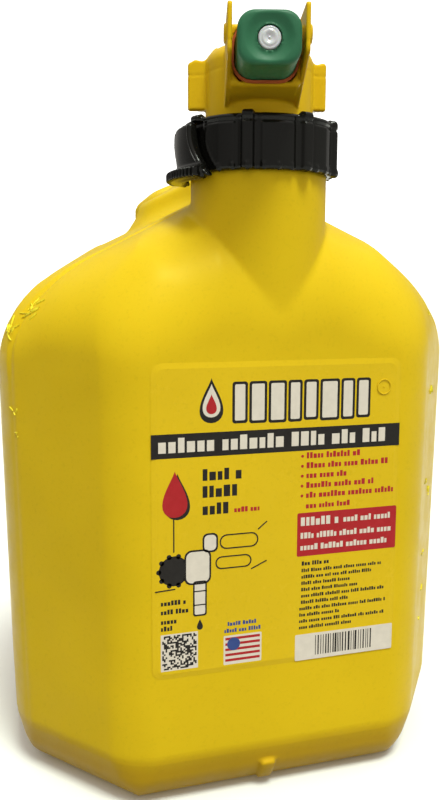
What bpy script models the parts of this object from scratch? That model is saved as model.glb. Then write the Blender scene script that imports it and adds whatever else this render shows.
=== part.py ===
"""A 20 litre blow-moulded jerry can with a screw collar and a push-button pouring nozzle.

The can's front faces -Y. Its origin is the centre of its base, and Z is up.
Lengths below are in millimetres, and every mesh is scaled to metres as it is made.
"""

import math

import bmesh
import bpy
from mathutils import Matrix, Vector

MM = 0.001

# Can body
CAN_DEPTH = 264.0
HALF_WIDTH = 149.0
SIDE_TAPER = 0.035
TAPER_TOP_Z = 250.0
RIDGE_Z = 363.0
SHOULDER_SLOPE = 0.51
SHOULDER_RADIUS = 65.0
REAR_SHOULDER_GROWTH = 0.22
CORNER_RADIUS = 36.0
BASE_DEPTH = 22.0
BASE_HEIGHT = 31.0
FRONT_RADIUS = 68.0
BACK_RADIUS = 45.0
WALL = 2.6

# Neck, on the line where the collar and the nozzle turn
NECK_SET_BACK = 41.0
NECK_RADIUS = 39.5
NECK_STEP_Z = 363.0
FINISH_RADIUS = 36.6
BORE_RADIUS = 33.6
LIP_Z = 382.5

# Flame arrestor basket that hangs in the neck
SCREEN_LENGTH = 94.0

# Thread between the neck and the collar
PITCH = 6.0
THREAD_TURNS = 1.25
THREAD_START_Z = 369.5
THREAD_HEIGHT = 1.8
THREAD_BASE = 2.4
THREAD_CREST = 1.5
THREAD_STEPS = 30

# Raised handle and the hand-hole under it
HUMP_RISE = 15.0
GRIP_HALF_WIDTH = 19.0
HOLE_FRONT = 150.0
HOLE_BACK = 236.0
HOLE_FLOOR_Z = 330.0
HOLE_TOP_Z = 357.0

# Label
LABEL_HALF_WIDTH = 75.0
LABEL_BOTTOM_Z = 80.0
LABEL_TOP_Z = 258.5
LABEL_THICKNESS = 0.4

# Collar and its release tab
COLLAR_BOTTOM_Z = 362.0
COLLAR_TOP_Z = 392.3
COLLAR_LIP_Z = 389.5
COLLAR_RADIUS = 43.2
COLLAR_BORE = 39.3
COLLAR_FOOT_BORE = 40.2
COLLAR_RIBS = 8
RIB_START = 13.2
RIB_SHARE = 0.18
RIB_HEIGHT = 2.4
RECESS_RADIUS = 41.1
TAB_AZIMUTH = 92.0
TAB_RADIUS = 43.4
TAB_THICKNESS = 4.6
TAB_HINGE_Z = 386.0
TAB_HINGE_RADIUS = 45.2

# Nozzle head; its front is turned towards the can's left
HEAD_TURN = 16.5
HEAD_RADIUS = 31.0
FLANGE_RADIUS = 36.2
FLANGE_BOTTOM_Z = 386.1
FLANGE_TOP_Z = 389.1
HEAD_TOP_Z = 434.0
AXIS_Z = 419.0
HOUSING_FRONT = 50.0
GUARD_FRONT = 76.0
GUARD_TOP_Z = 437.5
GUARD_OFFSET = 19.3
GUARD_THICKNESS = 2.4
FIN_REACH = 39.5
FIN_BOTTOM_Z = 399.8

# Button, rod and valve, along the head's own horizontal line
BUTTON_WIDTH = 31.6
BUTTON_HEIGHT = 26.0
BUTTON_FRONT = 82.0
BUTTON_BACK = 45.0
POCKET_DEPTH = 14.0
POCKET_RADIUS = 10.4
PLUG_RADIUS = 5.7
BORE_FRONT = 33.0
ROD_RADIUS = 2.5
SPRING_RADIUS = 8.0
WIRE_RADIUS = 0.8
SPRING_COILS = 4
SPRING_STEPS = 12
SEAT_BACK = 66.0

# Spout
SPOUT_RADIUS = 18.0
SPOUT_BORE = 9.0
NUT_RADIUS = 18.5
SPOUT_BACK = 137.0

GAP = 0.35


def clear_scene():
    for obj in list(bpy.data.objects):
        bpy.data.objects.remove(obj, do_unlink=True)


def plastic(name, colour, roughness, metallic=0.0):
    """A material with one Principled BSDF."""
    material = bpy.data.materials.new(name)
    material.use_nodes = True
    shader = material.node_tree.nodes["Principled BSDF"]
    shader.inputs["Base Color"].default_value = (*colour, 1.0)
    shader.inputs["Roughness"].default_value = roughness
    shader.inputs["Metallic"].default_value = metallic
    return material


def finished(name, bm, material=None, parent=None, at=(0.0, 0.0, 0.0)):
    """An object made from a bmesh in millimetres, with its origin at the point given."""
    bmesh.ops.translate(bm, verts=bm.verts, vec=-Vector(at))
    bmesh.ops.scale(bm, verts=bm.verts, vec=(MM, MM, MM))
    bmesh.ops.recalc_face_normals(bm, faces=bm.faces)
    mesh = bpy.data.meshes.new(name)
    bm.to_mesh(mesh)
    bm.free()
    obj = bpy.data.objects.new(name, mesh)
    bpy.context.scene.collection.objects.link(obj)
    obj.location = Vector(at) * MM
    obj.parent = parent
    if material:
        mesh.materials.append(material)
    mesh.shade_smooth()
    mesh.set_sharp_from_angle(angle=math.radians(35.0))
    return obj


def combine(obj, tool, operation):
    """Joins the tool to the object or cuts it away, and removes the tool."""
    modifier = obj.modifiers.new(operation.title(), "BOOLEAN")
    modifier.operation = operation
    modifier.solver = "EXACT"
    modifier.object = tool
    bpy.context.view_layer.update()
    graph = bpy.context.evaluated_depsgraph_get()
    mesh = bpy.data.meshes.new_from_object(obj.evaluated_get(graph))
    obj.modifiers.clear()
    obj.data = mesh
    mesh.set_sharp_from_angle(angle=math.radians(35.0))
    bpy.data.objects.remove(tool)
    return obj


def rounded(corners):
    """The points of an outline whose corners are (a, b, radius, steps)."""
    points = []
    for index, (a, b, radius, steps) in enumerate(corners):
        corner = Vector((a, b))
        if not radius:
            points.append(corner)
            continue
        before = Vector(corners[index - 1][:2]) - corner
        after = Vector(corners[(index + 1) % len(corners)][:2]) - corner
        before.normalize()
        after.normalize()
        half = before.angle(after) / 2.0
        centre = corner + (before + after).normalized() * (radius / math.sin(half))
        start = corner + before * (radius / math.tan(half)) - centre
        end = corner + after * (radius / math.tan(half)) - centre
        sweep = start.angle_signed(end)
        for step in range(steps + 1):
            turn = Matrix.Rotation(-sweep * step / steps, 2)
            points.append(centre + turn @ start)
    return points


def rectangle(half_width, half_height, radius, steps, centre=(0.0, 0.0)):
    a, b = centre
    corners = [(-1, -1), (1, -1), (1, 1), (-1, 1)]
    return rounded([(a + half_width * i, b + half_height * j, radius, steps) for i, j in corners])


def lofted(rings):
    """A closed solid through rings of the same number of points, capped at both ends."""
    bm = bmesh.new()
    loops = [[bm.verts.new(point) for point in ring] for ring in rings]
    count = len(loops[0])
    for near, far in zip(loops, loops[1:]):
        for i in range(count):
            j = (i + 1) % count
            bm.faces.new((near[i], near[j], far[j], far[i]))
    bm.faces.new(loops[0][::-1])
    bm.faces.new(loops[-1])
    return bm


def prism(outline, low, high, axis="Z"):
    """An outline extruded along X, Y or Z. Along X it lies in (Y, Z), along Y in (X, Z)."""
    place = {
        "X": lambda a, b, c: (c, a, b),
        "Y": lambda a, b, c: (a, c, b),
        "Z": lambda a, b, c: (a, b, c),
    }[axis]
    return lofted([[place(a, b, level) for a, b in outline] for level in (low, high)])


def turned(profile, segments, swell=None):
    """A profile of (radius, height) revolved about Z. A radius of 0 is a point on the axis.

    swell(index, angle) is what is added to the radius of profile point index at that angle.
    """
    bm = bmesh.new()
    loops = []
    for index, (radius, height) in enumerate(profile):
        if radius < 1e-6:
            loops.append([bm.verts.new((0.0, 0.0, height))])
            continue
        loop = []
        for step in range(segments):
            angle = 2.0 * math.pi * step / segments
            reach = radius + (swell(index, angle) if swell else 0.0)
            loop.append(bm.verts.new((reach * math.cos(angle), reach * math.sin(angle), height)))
        loops.append(loop)
    open_ended = len(loops[0]) == 1
    pairs = list(zip(loops, loops[1:])) if open_ended else list(zip(loops, loops[1:] + loops[:1]))
    for near, far in pairs:
        for i in range(segments):
            j = (i + 1) % segments
            corners = [near[i % len(near)], near[j % len(near)], far[j % len(far)], far[i % len(far)]]
            bm.faces.new(list(dict.fromkeys(corners)))
    return bm


def along_head(bm):
    """Turns what was made about Z so that Z points along the head's spout, away from its button."""
    bmesh.ops.rotate(bm, verts=bm.verts, cent=(0, 0, 0), matrix=Matrix.Rotation(math.radians(-90), 3, "X"))
    bmesh.ops.translate(bm, verts=bm.verts, vec=(0.0, 0.0, AXIS_Z))
    return bm


def depth(set_back):
    """World Y of a point that is this far behind the can's front face."""
    return set_back - CAN_DEPTH / 2.0


def reading(profile, position):
    """The inset that a profile of (position, inset) points gives at a position."""
    points = sorted(profile, key=lambda p: p[0])
    for (p0, q0), (p1, q1) in zip(points, points[1:]):
        if p0 <= position <= p1 and p1 > p0:
            return q0 + (q1 - q0) * (position - p0) / (p1 - p0)
    return points[0][1] if position <= points[0][0] else points[-1][1]


def side_profile():
    """How far the sides stand in from the greatest half width, from front to back."""
    outline = rounded(
        [(0.0, 90.0, 0, 0), (0.0, 55.0, 36.0, 6), (70.0, 1.0, 40.0, 6), (190.0, 6.0, 40.0, 6)]
        + [(CAN_DEPTH, 50.0, 30.0, 6), (CAN_DEPTH, 90.0, 0, 0)]
    )
    return [(p[0], p[1]) for p in outline[1:-1]]


def round_over(set_back, front, back):
    """How far a surface drops from its crown where it rounds into the front and back faces.

    front and back are each (reach in from that face, full drop at that face).
    """
    for (reach, height), distance in ((front, set_back), (back, CAN_DEPTH - set_back)):
        if distance < reach:
            return height * (1.0 - math.sqrt(max(1.0 - (1.0 - distance / reach) ** 2, 0.0)))
    return 0.0


def can_ring(set_back, wall):
    """The can's cross-section at a depth, or the tank's inside it when the wall isn't 0."""
    side = reading(side_profile(), set_back)
    half = HALF_WIDTH - side - wall
    base = round_over(set_back, (BASE_DEPTH, BASE_HEIGHT), (BASE_DEPTH, BASE_HEIGHT)) + wall
    drop = round_over(set_back, (FRONT_RADIUS, FRONT_RADIUS), (BACK_RADIUS, BACK_RADIUS)) + wall
    corner = max(CORNER_RADIUS - 0.22 * side, 8.0)
    shoulder = max(SHOULDER_RADIUS - 0.6 * side, 12.0)
    shoulder += REAR_SHOULDER_GROWTH * max(set_back - 70.0, 0.0)
    ridge = RIDGE_Z - drop
    eave = ridge - SHOULDER_SLOPE * half
    outline = rounded(
        [(-half, base, corner, 4), (half, base, corner, 4), (half, eave, shoulder, 6)]
        + [(0.0, ridge, 25.0, 2), (-half, eave, shoulder, 6)]
    )
    squeeze = (CAN_DEPTH - 2.0 * wall) / CAN_DEPTH
    y = depth(wall + set_back * squeeze)
    taper = [1.0 - SIDE_TAPER * max(1.0 - z / TAPER_TOP_Z, 0.0) for x, z in outline]
    return [(x * narrow, y, z) for (x, z), narrow in zip(outline, taper)]


def can_stations():
    front = [0.0, 1.0, 3.0, 7.0, 13.0, 22.0, 34.0, 48.0, 60.0, 68.0, 78.0, 90.0]
    back = [172.0, 190.0, 205.0] + [CAN_DEPTH - p for p in (45.0, 32.0, 22.0, 13.0, 7.0, 3.0, 1.0, 0.0)]
    return front + back


def tank_shape(wall):
    return finished("tank_shape", lofted([can_ring(station, wall) for station in can_stations()]))


def handle_hump():
    """The raised handle: a wide root behind the neck, a narrow grip, and a root at the back."""
    half = [(21, 104), (28, 113), (48, 134), (52, 150), (38, 163), (GRIP_HALF_WIDTH, 174)]
    half += [(GRIP_HALF_WIDTH, 222), (30, 236), (34, 254)]
    left = [(-x, depth(y)) for x, y in half]
    right = [(x, depth(y)) for x, y in reversed(half)]
    plan = finished("plan", prism(left + right, RIDGE_Z - 55.0, RIDGE_Z + 40.0))
    crest = RIDGE_Z + HUMP_RISE
    drop = 80.0 * SHOULDER_SLOPE
    floor = RIDGE_Z - 44.0
    roof = rounded(
        [(-80.0, floor, 0, 0), (80.0, floor, 0, 0), (80.0, crest - drop, 0, 0)]
        + [(0.0, crest, 14.0, 4), (-80.0, crest - drop, 0, 0)]
    )
    low = [(x, min(z, RIDGE_Z - 8.0)) for x, z in roof]
    bm = lofted(
        [[(x, depth(60.0), z) for x, z in roof], [(x, depth(232.0), z) for x, z in roof]]
        + [[(x, depth(256.0), z) for x, z in low]]
    )
    return combine(plan, finished("roof", bm), "INTERSECT")


def hand_hole(grow):
    """The slot that runs from side to side under the grip."""
    half_depth = (HOLE_BACK - HOLE_FRONT) / 2.0 + grow
    half_height = (HOLE_TOP_Z - HOLE_FLOOR_Z) / 2.0 + grow
    middle = (depth((HOLE_BACK + HOLE_FRONT) / 2.0), (HOLE_TOP_Z + HOLE_FLOOR_Z) / 2.0)
    outline = rectangle(half_depth, half_height, half_height - 0.5, 6, middle)
    return finished("hand_hole", prism(outline, -120.0, 120.0, "X"))


def helix_ridge(root, crest, start_z):
    """One helical thread ridge about Z, between the two radii."""
    half_root = THREAD_BASE / 2.0
    half_crest = THREAD_CREST / 2.0
    section = [(root, -half_root), (crest, -half_crest), (crest, half_crest), (root, half_root)]
    rings = []
    for step in range(int(THREAD_TURNS * THREAD_STEPS) + 1):
        angle = 2.0 * math.pi * step / THREAD_STEPS
        climb = start_z + PITCH * step / THREAD_STEPS
        rings.append([(r * math.cos(angle), r * math.sin(angle), climb + z) for r, z in section])
    return lofted(rings)


def moved_to_neck(bm):
    bmesh.ops.translate(bm, verts=bm.verts, vec=(0.0, depth(NECK_SET_BACK), 0.0))
    return bm


def arc_block(inner, outer, centre_azimuth, half_angle, low, high, steps):
    """A block curved about Z. Azimuth is measured from -Y towards -X, in degrees."""
    outline = []
    for radius, turn in ((inner, 1), (outer, -1)):
        for step in range(steps + 1):
            azimuth = math.radians(centre_azimuth + turn * half_angle * (2.0 * step / steps - 1.0))
            outline.append((-radius * math.sin(azimuth), -radius * math.cos(azimuth)))
    return prism(outline, low, high)


def make_can_body(material):
    body = tank_shape(0.0)
    neck = [(0.0, 298.0), (NECK_RADIUS, 298.0), (NECK_RADIUS, NECK_STEP_Z)]
    neck += [(FINISH_RADIUS, NECK_STEP_Z), (FINISH_RADIUS, LIP_Z), (0.0, LIP_Z)]
    combine(body, finished("neck", moved_to_neck(turned(neck, 48))), "UNION")
    thread = helix_ridge(FINISH_RADIUS - 0.8, FINISH_RADIUS + THREAD_HEIGHT, THREAD_START_Z)
    combine(body, finished("thread", moved_to_neck(thread)), "UNION")
    combine(body, handle_hump(), "UNION")
    ledge = arc_block(NECK_RADIUS - 2.0, 40.9, TAB_AZIMUTH, 18.0, NECK_STEP_Z - 6.5, NECK_STEP_Z - 3.0, 8)
    combine(body, finished("ratchet_ledge", moved_to_neck(ledge)), "UNION")
    combine(body, hand_hole(0.0), "DIFFERENCE")
    inside = combine(tank_shape(WALL), hand_hole(WALL), "DIFFERENCE")
    bore = [(0.0, 308.0), (BORE_RADIUS, 308.0), (BORE_RADIUS, LIP_Z + 5.0), (0.0, LIP_Z + 5.0)]
    combine(inside, finished("bore", moved_to_neck(turned(bore, 48))), "UNION")
    combine(body, inside, "DIFFERENCE")
    body.name = "can_body"
    body.data.name = "can_body"
    body.data.materials.clear()
    body.data.materials.append(material)
    return body


def make_label(material):
    middle = (LABEL_BOTTOM_Z + LABEL_TOP_Z) / 2.0
    half_height = (LABEL_TOP_Z - LABEL_BOTTOM_Z) / 2.0
    outline = rectangle(LABEL_HALF_WIDTH, half_height, 6.0, 4, (0.0, middle))
    face = depth(0.0) - GAP
    finished("front_label", prism(outline, face - LABEL_THICKNESS, face, "Y"), material)


def make_flame_arrestor(material):
    centre = depth(NECK_SET_BACK)
    top = LIP_Z - 2.0
    ring = [(30.2, top - 12.0), (33.2, top - 12.0), (33.2, top), (30.2, top)]
    finished("flame_arrestor_ring", moved_to_neck(turned(ring, 32)), material, at=(0.0, centre, top - 6.0))
    foot = top - SCREEN_LENGTH
    rim = top - 2.0
    floor = foot + 1.4
    cup = [(0.0, foot), (29.8, foot), (29.8, rim), (28.6, rim), (28.6, floor), (0.0, floor)]
    screen = finished("flame_arrestor_screen", moved_to_neck(turned(cup, 24)), material)
    for turn in range(4):
        angle = math.radians(45.0 * turn)
        for low in (foot + 8.0, foot + 42.0):
            bm = prism(rectangle(40.0, 4.0, 0, 0), low, low + 28.0)
            bmesh.ops.rotate(bm, verts=bm.verts, cent=(0, 0, 0), matrix=Matrix.Rotation(angle, 3, "Z"))
            combine(screen, finished("window", moved_to_neck(bm)), "DIFFERENCE")


def make_neck_gasket(material):
    low, high = LIP_Z + GAP, FLANGE_BOTTOM_Z - GAP
    ring = [(30.0, low), (36.0, low), (36.0, high), (30.0, high)]
    origin = (0.0, depth(NECK_SET_BACK), LIP_Z)
    finished("neck_gasket", moved_to_neck(turned(ring, 32)), material, at=origin)


def collar_rib(index, angle):
    """Grip ribs on the collar's outer wall, which is points 1 to 3 of its profile."""
    if index not in (1, 2, 3):
        return 0.0
    turn = ((math.degrees(angle) - RIB_START) * COLLAR_RIBS / 360.0) % 1.0
    return RIB_HEIGHT if turn < RIB_SHARE else 0.0


def make_collar(material):
    profile = [(COLLAR_FOOT_BORE, COLLAR_BOTTOM_Z), (COLLAR_RADIUS, COLLAR_BOTTOM_Z)]
    profile += [(COLLAR_RADIUS, COLLAR_TOP_Z - 4.0), (COLLAR_RADIUS - 1.5, COLLAR_TOP_Z - 1.2)]
    profile += [(COLLAR_RADIUS - 4.5, COLLAR_TOP_Z), (HEAD_RADIUS + 0.8, COLLAR_TOP_Z)]
    profile += [(HEAD_RADIUS + 0.8, COLLAR_LIP_Z), (COLLAR_BORE, COLLAR_LIP_Z)]
    profile += [(COLLAR_BORE, COLLAR_BOTTOM_Z + 3.5), (COLLAR_FOOT_BORE, COLLAR_BOTTOM_Z + 3.0)]
    collar = finished("collar", turned(profile, 72, collar_rib), material)
    start = THREAD_START_Z + PITCH / 2.0
    thread = helix_ridge(COLLAR_BORE + 0.8, COLLAR_BORE - THREAD_HEIGHT, start)
    combine(collar, finished("thread", thread), "UNION")
    low, high = COLLAR_BOTTOM_Z - 5.0, TAB_HINGE_Z + 3.0
    recess = arc_block(RECESS_RADIUS, 70.0, TAB_AZIMUTH, 32.0, low, high, 16)
    combine(collar, finished("recess", recess), "DIFFERENCE")
    collar.location = (0.0, depth(NECK_SET_BACK) * MM, 0.0)


def make_release_tab(material):
    """A thumb lever that leans in at its foot about a hinge line near its top."""
    outer = TAB_RADIUS + TAB_THICKNESS
    foot_z = COLLAR_BOTTOM_Z - 4.5
    lever = arc_block(TAB_RADIUS, outer, TAB_AZIMUTH, 22.0, foot_z + 1.5, TAB_HINGE_Z + 2.0, 12)
    tab = finished("collar_release_tab", lever)
    foot = arc_block(TAB_RADIUS + 1.2, outer + 6.0, TAB_AZIMUTH, 31.0, foot_z, foot_z + 7.5, 24)
    combine(tab, finished("foot", foot), "UNION")
    azimuth = math.radians(TAB_AZIMUTH)
    hinge = Vector((-math.sin(azimuth), -math.cos(azimuth), 0.0)) * TAB_HINGE_RADIUS
    hinge.z = TAB_HINGE_Z
    tab.data.transform(Matrix.Translation(-hinge * MM))
    tab.location = (hinge + Vector((0.0, depth(NECK_SET_BACK), 0.0))) * MM
    tab.data.materials.clear()
    tab.data.materials.append(material)


def make_nozzle_body(material, pivot):
    """The head: a round cap on a flange, a button housing with guards, fins, and a spout socket."""
    top = HEAD_TOP_Z
    cap = [(0.0, top), (18.0, top - 0.6), (24.0, top - 1.5), (28.9, top - 4.0), (HEAD_RADIUS, top - 8.5)]
    flange = [(HEAD_RADIUS, FLANGE_TOP_Z), (FLANGE_RADIUS, FLANGE_TOP_Z), (FLANGE_RADIUS, FLANGE_BOTTOM_Z)]
    inside = [(HEAD_RADIUS - 3.0, FLANGE_BOTTOM_Z), (HEAD_RADIUS - 3.0, top - 6.5), (0.0, top - 3.0)]
    head = finished("nozzle_body", turned(cap + flange + inside, 48))
    housing = rectangle(GUARD_OFFSET - 0.4, 15.4, 3.0, 3, (0.0, AXIS_Z - 0.2))
    combine(head, finished("housing", prism(housing, -HOUSING_FRONT, -20.0, "Y")), "UNION")
    for side in (-1.0, 1.0):
        combine(head, guard_plate(side), "UNION")
        combine(head, side_fin(side), "UNION")
        combine(head, guard_boss(side), "UNION")
    socket = [(0.0, 22.0), (15.5, 22.0), (15.5, 46.0), (0.0, 46.0)]
    combine(head, finished("socket", along_head(turned(socket, 32))), "UNION")
    button_bore = rectangle(BUTTON_WIDTH / 2 + 0.7, BUTTON_HEIGHT / 2 + 0.7, 9.6, 5, (0.0, AXIS_Z))
    combine(head, finished("button_bore", prism(button_bore, -90.0, -BORE_FRONT, "Y")), "DIFFERENCE")
    bore = ROD_RADIUS + 0.5
    passage = [(0.0, -40.0), (bore, -40.0), (bore, 24.0), (12.6, 24.0), (12.6, 60.0), (0.0, 60.0)]
    combine(head, finished("passage", along_head(turned(passage, 24))), "DIFFERENCE")
    head.data.materials.clear()
    head.data.materials.append(material)
    head.parent = pivot


def guard_plate(side):
    """The thin plate beside the button, with its front edge ahead of the housing."""
    front = -GUARD_FRONT
    outline = [(-26.0, AXIS_Z - 21.0), (front, AXIS_Z - 5.5), (front, GUARD_TOP_Z - 3.0)]
    outline += [(front + 3.0, GUARD_TOP_Z), (-36.0, GUARD_TOP_Z), (-26.0, AXIS_Z + 11.0)]
    near = side * GUARD_OFFSET - GUARD_THICKNESS / 2
    return finished("guard", prism(outline, near, near + GUARD_THICKNESS, "X"))


def side_fin(side):
    """The finger grip that stands out beside the cap."""
    outline = [(side * 25.0, FIN_BOTTOM_Z), (side * FIN_REACH, FIN_BOTTOM_Z)]
    outline += [(side * FIN_REACH, HEAD_TOP_Z - 7.5), (side * 25.0, HEAD_TOP_Z - 2.0)]
    return finished("fin", prism(outline, -3.0, 3.0, "Y"))


def guard_boss(side):
    """The round stud on a guard's outer face."""
    boss = turned([(0.0, 0.0), (5.0, 0.0), (4.2, 2.6), (0.0, 2.6)], 16)
    quarter = Matrix.Rotation(side * math.pi / 2, 3, "Y")
    bmesh.ops.rotate(boss, verts=boss.verts, cent=(0, 0, 0), matrix=quarter)
    bmesh.ops.translate(boss, verts=boss.verts, vec=(side * GUARD_OFFSET, -GUARD_FRONT + 9.0, AXIS_Z + 5.0))
    return finished("boss", boss)


def make_button(green, clear, pivot):
    """The push button and the plug in its face. Both have their origins on the line of travel."""
    sizes = [(BUTTON_BACK, 0.0), (BUTTON_FRONT - 3.0, 0.0), (BUTTON_FRONT - 0.9, 0.9), (BUTTON_FRONT, 3.2)]
    rings = []
    for reach, inset in sizes:
        outline = rectangle(BUTTON_WIDTH / 2 - inset, BUTTON_HEIGHT / 2 - inset, 9.0 - inset, 5)
        rings.append([(a, -reach, b) for a, b in outline])
    origin = (0.0, -BUTTON_BACK, AXIS_Z)
    bm = lofted(rings)
    bmesh.ops.translate(bm, verts=bm.verts, vec=(0.0, 0.0, AXIS_Z))
    button = finished("push_button", bm, at=origin)
    front = -BUTTON_FRONT
    shaft = ROD_RADIUS + GAP
    pocket = -BUTTON_BACK - POCKET_DEPTH
    dish = [(0.0, front - 2.0), (10.6, front - 2.0), (8.2, front + 2.0), (PLUG_RADIUS + 0.4, front + 2.0)]
    bore = [(PLUG_RADIUS + 0.4, front + 9.0), (shaft, front + 9.0), (shaft, pocket)]
    bore += [(POCKET_RADIUS, pocket), (POCKET_RADIUS, -BUTTON_BACK + 5.0), (0.0, -BUTTON_BACK + 5.0)]
    combine(button, finished("cavity", along_head(turned(dish + bore, 24))), "DIFFERENCE")
    button.data.materials.clear()
    button.data.materials.append(green)
    button.parent = pivot
    plug = [(0.0, front + 1.2), (PLUG_RADIUS - 1.3, front + 1.5), (PLUG_RADIUS, front + 2.6)]
    plug += [(PLUG_RADIUS, front + 5.6), (0.0, front + 5.6)]
    finished("button_plug", along_head(turned(plug, 24)), clear, pivot, (0.0, front + 5.6, AXIS_Z))


def make_button_seal(orange, pivot):
    outer = rectangle(BUTTON_WIDTH / 2 + 1.8, BUTTON_HEIGHT / 2 + 2.0, 10.8, 5, (0.0, AXIS_Z))
    inner = rectangle(BUTTON_WIDTH / 2 + 0.6, BUTTON_HEIGHT / 2 + 0.6, 9.5, 5, (0.0, AXIS_Z))
    face = -HOUSING_FRONT - GAP
    seal = finished("button_seal", prism(outer, face - 1.8, face, "Y"), orange)
    combine(seal, finished("hole", prism(inner, face - 4.0, face + 2.0, "Y")), "DIFFERENCE")
    seal.parent = pivot


def make_rod(steel, pivot):
    """The rod from the button to the valve, and the clip that holds it behind the plug."""
    front = -BUTTON_FRONT + 6.2
    back = SEAT_BACK + 3.5
    rod = [(0.0, front), (ROD_RADIUS, front), (ROD_RADIUS, back), (0.0, back)]
    finished("valve_rod", along_head(turned(rod, 16)), steel, pivot, (0.0, 0.0, AXIS_Z))
    inner = ROD_RADIUS + GAP
    clip = [(inner, front), (PLUG_RADIUS, front), (PLUG_RADIUS, front + 2.2), (inner, front + 2.2)]
    finished("rod_clip", along_head(turned(clip, 16)), steel, pivot, (0.0, front, AXIS_Z))


def make_valve(metal, rubber, white, pivot):
    """The seat in the spout's root, and the disc and O-ring that close it."""
    front = SEAT_BACK - 4.0
    seat = [(6.6, front), (8.6, front), (8.6, SEAT_BACK), (6.6, SEAT_BACK)]
    finished("valve_seat", along_head(turned(seat, 24)), metal, pivot)
    face = SEAT_BACK + 4.0
    disc = [(0.0, face), (7.6, face), (7.6, face + 1.8), (4.0, face + 4.2), (0.0, face + 4.2)]
    finished("valve_disc", along_head(turned(disc, 20)), white, pivot, (0.0, face, AXIS_Z))
    make_ring("valve_o_ring", 5.6, 1.0, SEAT_BACK + 1.9, 20, rubber, pivot)


def make_ring(name, radius, thickness, reach, segments, material, pivot):
    """A round-section ring about the head's line."""
    corners = [math.radians(60.0 * turn) for turn in range(6)]
    section = [(radius + thickness * math.cos(a), reach + thickness * math.sin(a)) for a in corners]
    finished(name, along_head(turned(section, segments)), material, pivot)


def make_spring(steel, metal, pivot):
    """The coil that pushes the button out, and the washer it stands on."""
    seat = -BORE_FRONT - GAP
    inner, outer = ROD_RADIUS + 0.6, SPRING_RADIUS + 1.6
    washer = [(inner, seat - 1.2), (outer, seat - 1.2), (outer, seat), (inner, seat)]
    finished("spring_seat", along_head(turned(washer, 20)), metal, pivot)
    low = BORE_FRONT + GAP + 1.2 + GAP + WIRE_RADIUS
    high = BUTTON_BACK + POCKET_DEPTH - GAP - WIRE_RADIUS
    total = SPRING_COILS * SPRING_STEPS
    rings = []
    for step in range(total + 1):
        angle = 2.0 * math.pi * step / SPRING_STEPS
        out = Vector((math.cos(angle), 0.0, math.sin(angle)))
        centre = out * SPRING_RADIUS + Vector((0.0, -low - (high - low) * step / total, AXIS_Z))
        ring = []
        for corner in range(5):
            turn = 2.0 * math.pi * corner / 5
            along = Vector((0.0, math.sin(turn), 0.0))
            ring.append(centre + (out * math.cos(turn) + along) * WIRE_RADIUS)
        rings.append(ring)
    finished("return_spring", lofted(rings), steel, pivot)


def make_spout(yellow, rubber, white, pivot):
    """The stepped spout with its nut, O-ring and vent tube, behind the head."""
    spout = [(12.2, 36.0), (12.2, 50.0), (SPOUT_RADIUS, 50.0), (SPOUT_RADIUS, 62.0)]
    spout += [(SPOUT_RADIUS - 0.6, 70.0), (13.0, 102.0), (12.2, 103.0), (12.2, SPOUT_BACK)]
    spout += [(10.4, SPOUT_BACK), (10.4, 104.0), (SPOUT_BORE + 0.2, 98.0), (SPOUT_BORE + 0.2, 56.0)]
    spout += [(SPOUT_BORE, 36.0)]
    finished("spout", along_head(turned(spout, 36)), yellow, pivot, (0.0, 46.0, AXIS_Z))
    nut = [(16.0, 36.5), (NUT_RADIUS, 36.5), (NUT_RADIUS, 48.5), (16.0, 48.5)]
    finished("spout_nut", along_head(turned(nut, 36)), yellow, pivot, (0.0, 42.0, AXIS_Z))
    make_ring("spout_o_ring", 13.9, 0.9, 47.4, 28, rubber, pivot)
    vent = [(2.0, 84.0), (3.2, 84.0), (3.2, SPOUT_BACK - 3.0), (2.0, SPOUT_BACK - 3.0)]
    finished("vent_tube", along_head(turned(vent, 12)), white, pivot, (0.0, 84.0, AXIS_Z))


def main():
    clear_scene()
    bpy.context.scene.unit_settings.system = "METRIC"
    can_yellow = plastic("can_yellow", (0.70, 0.50, 0.012), 0.36)
    nozzle_yellow = plastic("nozzle_yellow", (0.74, 0.42, 0.010), 0.34)
    label_film = plastic("label_film", (0.72, 0.52, 0.02), 0.22)
    gloss_black = plastic("gloss_black", (0.008, 0.008, 0.008), 0.18)
    green = plastic("button_green", (0.020, 0.135, 0.055), 0.42)
    white = plastic("clear_white", (0.72, 0.73, 0.74), 0.25)
    orange = plastic("seal_orange", (0.55, 0.10, 0.02), 0.5)
    rubber = plastic("seal_rubber", (0.02, 0.02, 0.02), 0.7)
    steel = plastic("spring_steel", (0.55, 0.56, 0.58), 0.3, 1.0)
    screen = plastic("screen_steel", (0.35, 0.36, 0.38), 0.45, 1.0)
    make_can_body(can_yellow)
    make_label(label_film)
    make_flame_arrestor(screen)
    make_neck_gasket(rubber)
    make_collar(gloss_black)
    make_release_tab(gloss_black)
    pivot = bpy.data.objects.new("nozzle_pivot", None)
    bpy.context.scene.collection.objects.link(pivot)
    pivot.location = (0.0, depth(NECK_SET_BACK) * MM, 0.0)
    pivot.rotation_euler = (0.0, 0.0, -math.radians(HEAD_TURN))
    make_nozzle_body(nozzle_yellow, pivot)
    make_button(green, white, pivot)
    make_button_seal(orange, pivot)
    make_rod(steel, pivot)
    make_spring(steel, screen, pivot)
    make_valve(screen, rubber, white, pivot)
    make_spout(nozzle_yellow, rubber, white, pivot)


main()
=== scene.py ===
"""Looks for a 20 litre jerry can with a screw collar and a push-button pouring nozzle.

Each moulded piece is described by a field: a distance-like value in millimetres that is negative
inside the plastic. Fields are joined with rounded edges and fillets, then meshed and smoothed onto
their exact surface. The can's front faces -Y and Z is up; the head turns about the neck's axis.
"""

import math
from itertools import product

import bpy
import numpy as np
from mathutils import Matrix, Vector


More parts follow.
